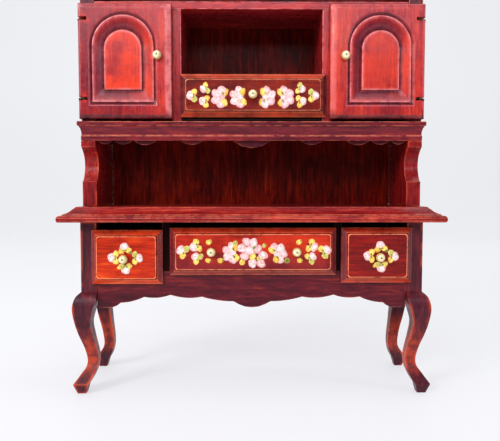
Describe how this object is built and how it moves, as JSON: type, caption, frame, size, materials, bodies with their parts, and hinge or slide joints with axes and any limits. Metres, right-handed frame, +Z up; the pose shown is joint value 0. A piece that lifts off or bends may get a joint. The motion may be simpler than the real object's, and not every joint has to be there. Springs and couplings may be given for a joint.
{
  "type": "miniature dresser",
  "caption": "Dolls' house dresser in dark red wood: chest of drawers on cabriole legs, with a cabinet of arched doors, open niches and painted drawer fronts.",
  "frame": {"origin": "on the floor, under the middle of the outline", "axes": "+X to the right seen from the front, +Y towards the back, +Z up"},
  "size_m": [0.1418, 0.0444, 0.1842],
  "materials": {
    "mahogany": "dark red stain under gloss lacquer, worn lighter at the edges",
    "dark_mahogany": "very dark red stain, satin to gloss",
    "bright_mahogany": "bright orange red stain under gloss lacquer, with painted blossoms",
    "drawer_wood": "thinly stained, matte",
    "cream_bead": "cream gloss paint with a dark green dot",
    "brass": "satin"
  },
  "bodies": {
    "root": {"apron": "mahogany", "back_panel": "dark_mahogany", "bay_floor": "mahogany", "cabinet_side_left": "mahogany", "cabinet_side_right": "mahogany", "cabinet_top": "mahogany", "chest_side_left": "mahogany", "chest_side_right": "mahogany", "chest_top": "mahogany", "cornice": "mahogany", "divider_left": "dark_mahogany", "divider_right": "dark_mahogany", "drawer_floor": "dark_mahogany", "hinge_left_lower_case_leaf": "brass", "hinge_left_upper_case_leaf": "brass", "hinge_right_lower_case_leaf": "brass", "hinge_right_upper_case_leaf": "brass", "leg_front_left": "mahogany", "leg_front_right": "mahogany", "leg_rear_left": "mahogany", "leg_rear_right": "mahogany", "niche_side_left": "mahogany", "niche_side_right": "mahogany", "partition_left": "mahogany", "partition_right": "mahogany", "shelf_board": "mahogany", "valance": "mahogany"},
    "door_left": {"door_left": "mahogany", "hinge_left_lower_door_leaf": "brass", "hinge_left_upper_door_leaf": "brass", "knob_door_left": "cream_bead"},
    "door_right": {"door_right": "mahogany", "hinge_right_lower_door_leaf": "brass", "hinge_right_upper_door_leaf": "brass", "knob_door_right": "cream_bead"},
    "drawer_left": {"drawer_left_back": "drawer_wood", "drawer_left_bottom": "drawer_wood", "drawer_left_front": "bright_mahogany", "drawer_left_side_left": "drawer_wood", "drawer_left_side_right": "drawer_wood", "knob_left": "cream_bead"},
    "drawer_right": {"drawer_right_back": "drawer_wood", "drawer_right_bottom": "drawer_wood", "drawer_right_front": "bright_mahogany", "drawer_right_side_left": "drawer_wood", "drawer_right_side_right": "drawer_wood", "knob_right": "cream_bead"},
    "drawer_upper": {"drawer_upper_back": "drawer_wood", "drawer_upper_bottom": "drawer_wood", "drawer_upper_front": "bright_mahogany", "drawer_upper_side_left": "drawer_wood", "drawer_upper_side_right": "drawer_wood", "knob_upper": "cream_bead"},
    "drawer_wide": {"drawer_wide_back": "drawer_wood", "drawer_wide_bottom": "drawer_wood", "drawer_wide_front": "bright_mahogany", "drawer_wide_side_left": "drawer_wood", "drawer_wide_side_right": "drawer_wood", "knob_wide_left": "cream_bead", "knob_wide_right": "cream_bead"}
  },
  "joints": [
    {"name": "drawer_left_slide", "type": "slide", "parent": "root", "child": "drawer_left", "axis": [0, -1, 0], "range_m": [0, 0.021]},
    {"name": "drawer_wide_slide", "type": "slide", "parent": "root", "child": "drawer_wide", "axis": [0, -1, 0], "range_m": [0, 0.021]},
    {"name": "drawer_right_slide", "type": "slide", "parent": "root", "child": "drawer_right", "axis": [0, -1, 0], "range_m": [0, 0.021]},
    {"name": "drawer_upper_slide", "type": "slide", "parent": "root", "child": "drawer_upper", "axis": [0, -1, 0], "range_m": [0, 0.019]},
    {"name": "door_left_hinge", "type": "hinge", "parent": "root", "child": "door_left", "pos_m": [-0.0639, -0.01117, 0.1237], "axis": [0, 0, -1], "range_deg": [0, 150]},
    {"name": "door_right_hinge", "type": "hinge", "parent": "root", "child": "door_right", "pos_m": [0.0639, -0.01117, 0.1237], "axis": [0, 0, 1], "range_deg": [0, 150]}
  ]
}
